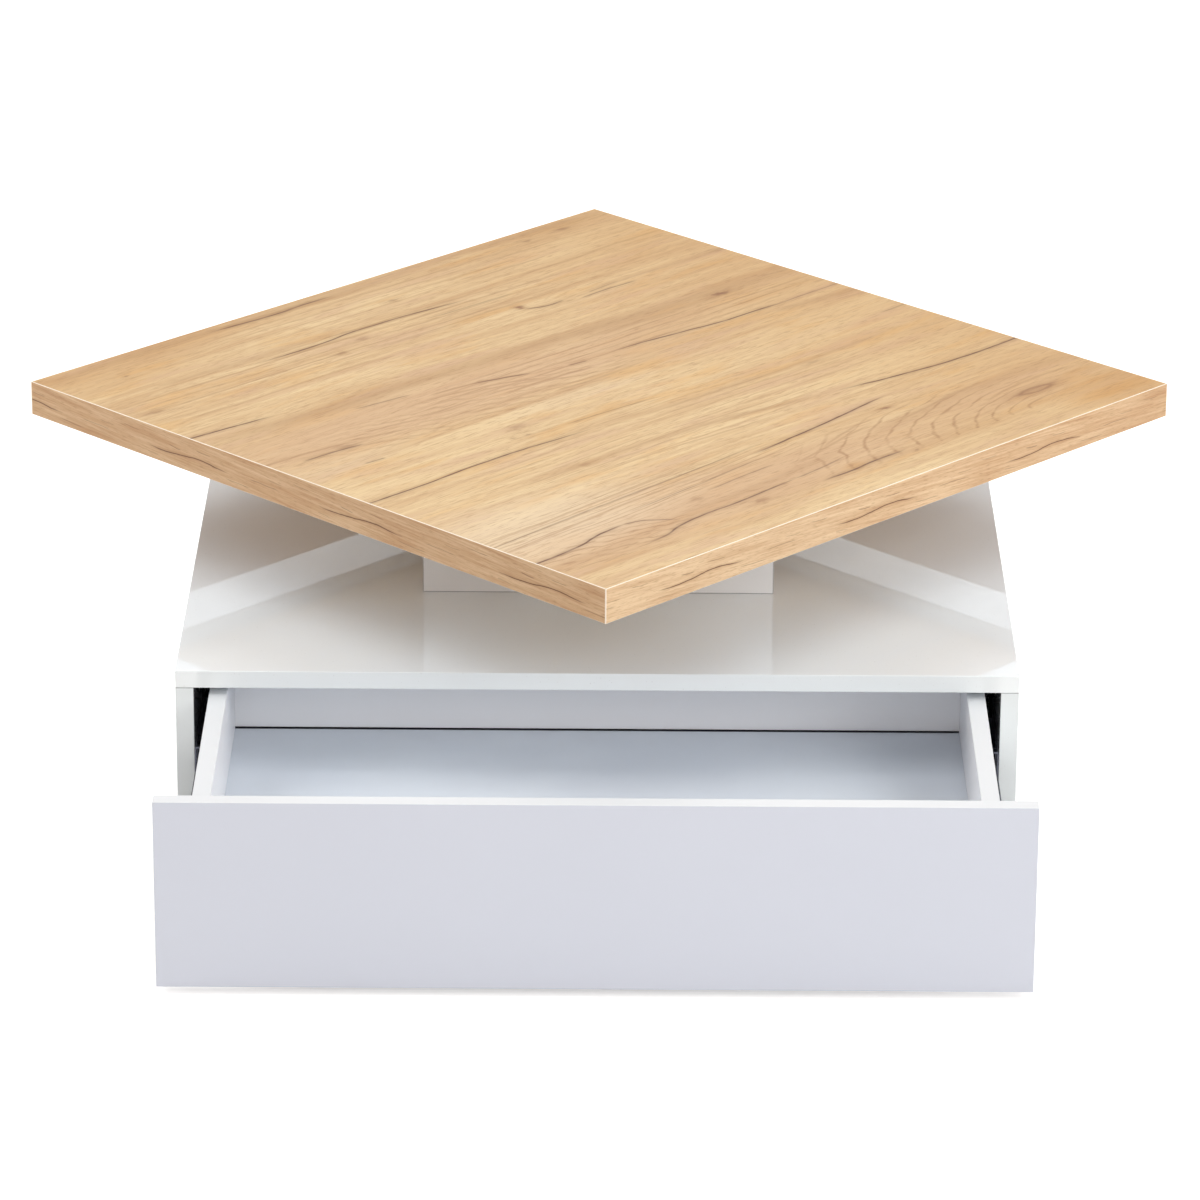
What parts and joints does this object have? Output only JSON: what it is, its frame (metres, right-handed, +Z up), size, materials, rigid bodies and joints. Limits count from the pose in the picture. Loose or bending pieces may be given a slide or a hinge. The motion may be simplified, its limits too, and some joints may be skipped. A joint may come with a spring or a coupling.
{
  "type": "swivel coffee table",
  "caption": "Low square coffee table: an oak-print top turns on a ring bearing over a square pedestal and a white cabinet with one drawer.",
  "frame": {"origin": "where the swivel axis meets the floor: the centre of the middle floor glide's underside", "axes": "+Z up along the swivel axis, -Y the way the drawer opens, +X to the right of someone facing the drawer front"},
  "size_m": [0.9898, 1.0949, 0.309],
  "materials": {
    "oak_melamine": "oak-print melamine paper on particleboard, satin",
    "oak_edge_strip": "oak-print edge strip, satin",
    "white_gloss_board": "white high-gloss foil on board",
    "white_satin_board": "white satin foil on board",
    "beech": "planed beech",
    "zinc_steel": "zinc-plated pressed steel",
    "ball_steel": "ground and polished steel",
    "bearing_aluminium": "extruded and turned",
    "nylon": "moulded",
    "glide_plastic": "moulded"
  },
  "bodies": {
    "cabinet": {"bearing_lower_ring": "bearing_aluminium", "cabinet_back": "white_gloss_board", "cabinet_bottom": "white_gloss_board", "cabinet_cam_bolts": "zinc_steel", "cabinet_cams": "zinc_steel", "cabinet_dowels": "beech", "cabinet_side_left": "white_gloss_board", "cabinet_side_right": "white_gloss_board", "cabinet_top": "white_gloss_board", "corner_blocks": "beech", "floor_glides": "glide_plastic", "lid_ring_screws": "zinc_steel", "pedestal_back": "white_gloss_board", "pedestal_foot_screws": "zinc_steel", "pedestal_front": "white_gloss_board", "pedestal_left": "white_gloss_board", "pedestal_lid": "white_gloss_board", "pedestal_lid_screws": "zinc_steel", "pedestal_right": "white_gloss_board", "slide_cabinet_member_left": "zinc_steel", "slide_cabinet_member_right": "zinc_steel", "slide_cabinet_screws": "zinc_steel"},
    "tabletop": {"bearing_upper_ring": "bearing_aluminium", "edge_band_back_left": "oak_edge_strip", "edge_band_back_right": "oak_edge_strip", "edge_band_front_left": "oak_edge_strip", "edge_band_front_right": "oak_edge_strip", "rim_strip_back_left": "white_satin_board", "rim_strip_back_right": "white_satin_board", "rim_strip_front_left": "white_satin_board", "rim_strip_front_right": "white_satin_board", "top_board": "oak_melamine", "top_ring_screws": "zinc_steel"},
    "ball_ring": {"bearing_balls": "ball_steel", "bearing_cage": "nylon"},
    "drawer": {"drawer_back": "white_satin_board", "drawer_back_screws": "zinc_steel", "drawer_bottom": "white_satin_board", "drawer_cam_bolts": "zinc_steel", "drawer_cams": "zinc_steel", "drawer_dowels": "beech", "drawer_front": "white_gloss_board", "drawer_side_left": "white_satin_board", "drawer_side_right": "white_satin_board", "slide_drawer_member_left": "zinc_steel", "slide_drawer_member_right": "zinc_steel", "slide_drawer_screws": "zinc_steel"},
    "left_ball_cage": {"slide_balls_left": "ball_steel", "slide_cage_left": "zinc_steel"},
    "right_ball_cage": {"slide_balls_right": "ball_steel", "slide_cage_right": "zinc_steel"}
  },
  "joints": [
    {"name": "top_swivel", "type": "hinge", "parent": "cabinet", "child": "tabletop", "pos_m": [0, 0, 0.294], "axis": [0, 0, 1], "continuous": true},
    {"name": "ball_ring_turn", "type": "hinge", "parent": "cabinet", "child": "ball_ring", "pos_m": [0, 0, 0.29], "axis": [0, 0, 1], "continuous": true},
    {"name": "drawer_slide", "type": "slide", "parent": "cabinet", "child": "drawer", "axis": [0, -1, 0], "range_m": [-0.25, 0]},
    {"name": "left_cage_travel", "type": "slide", "parent": "cabinet", "child": "left_ball_cage", "axis": [0, -1, 0], "range_m": [-0.125, 0]},
    {"name": "right_cage_travel", "type": "slide", "parent": "cabinet", "child": "right_ball_cage", "axis": [0, -1, 0], "range_m": [-0.125, 0]}
  ],
  "couplings": [
    {"joint": "ball_ring_turn", "follows": "top_swivel", "ratio": 0.5},
    {"joint": "left_cage_travel", "follows": "drawer_slide", "ratio": 0.5},
    {"joint": "right_cage_travel", "follows": "drawer_slide", "ratio": 0.5}
  ]
}
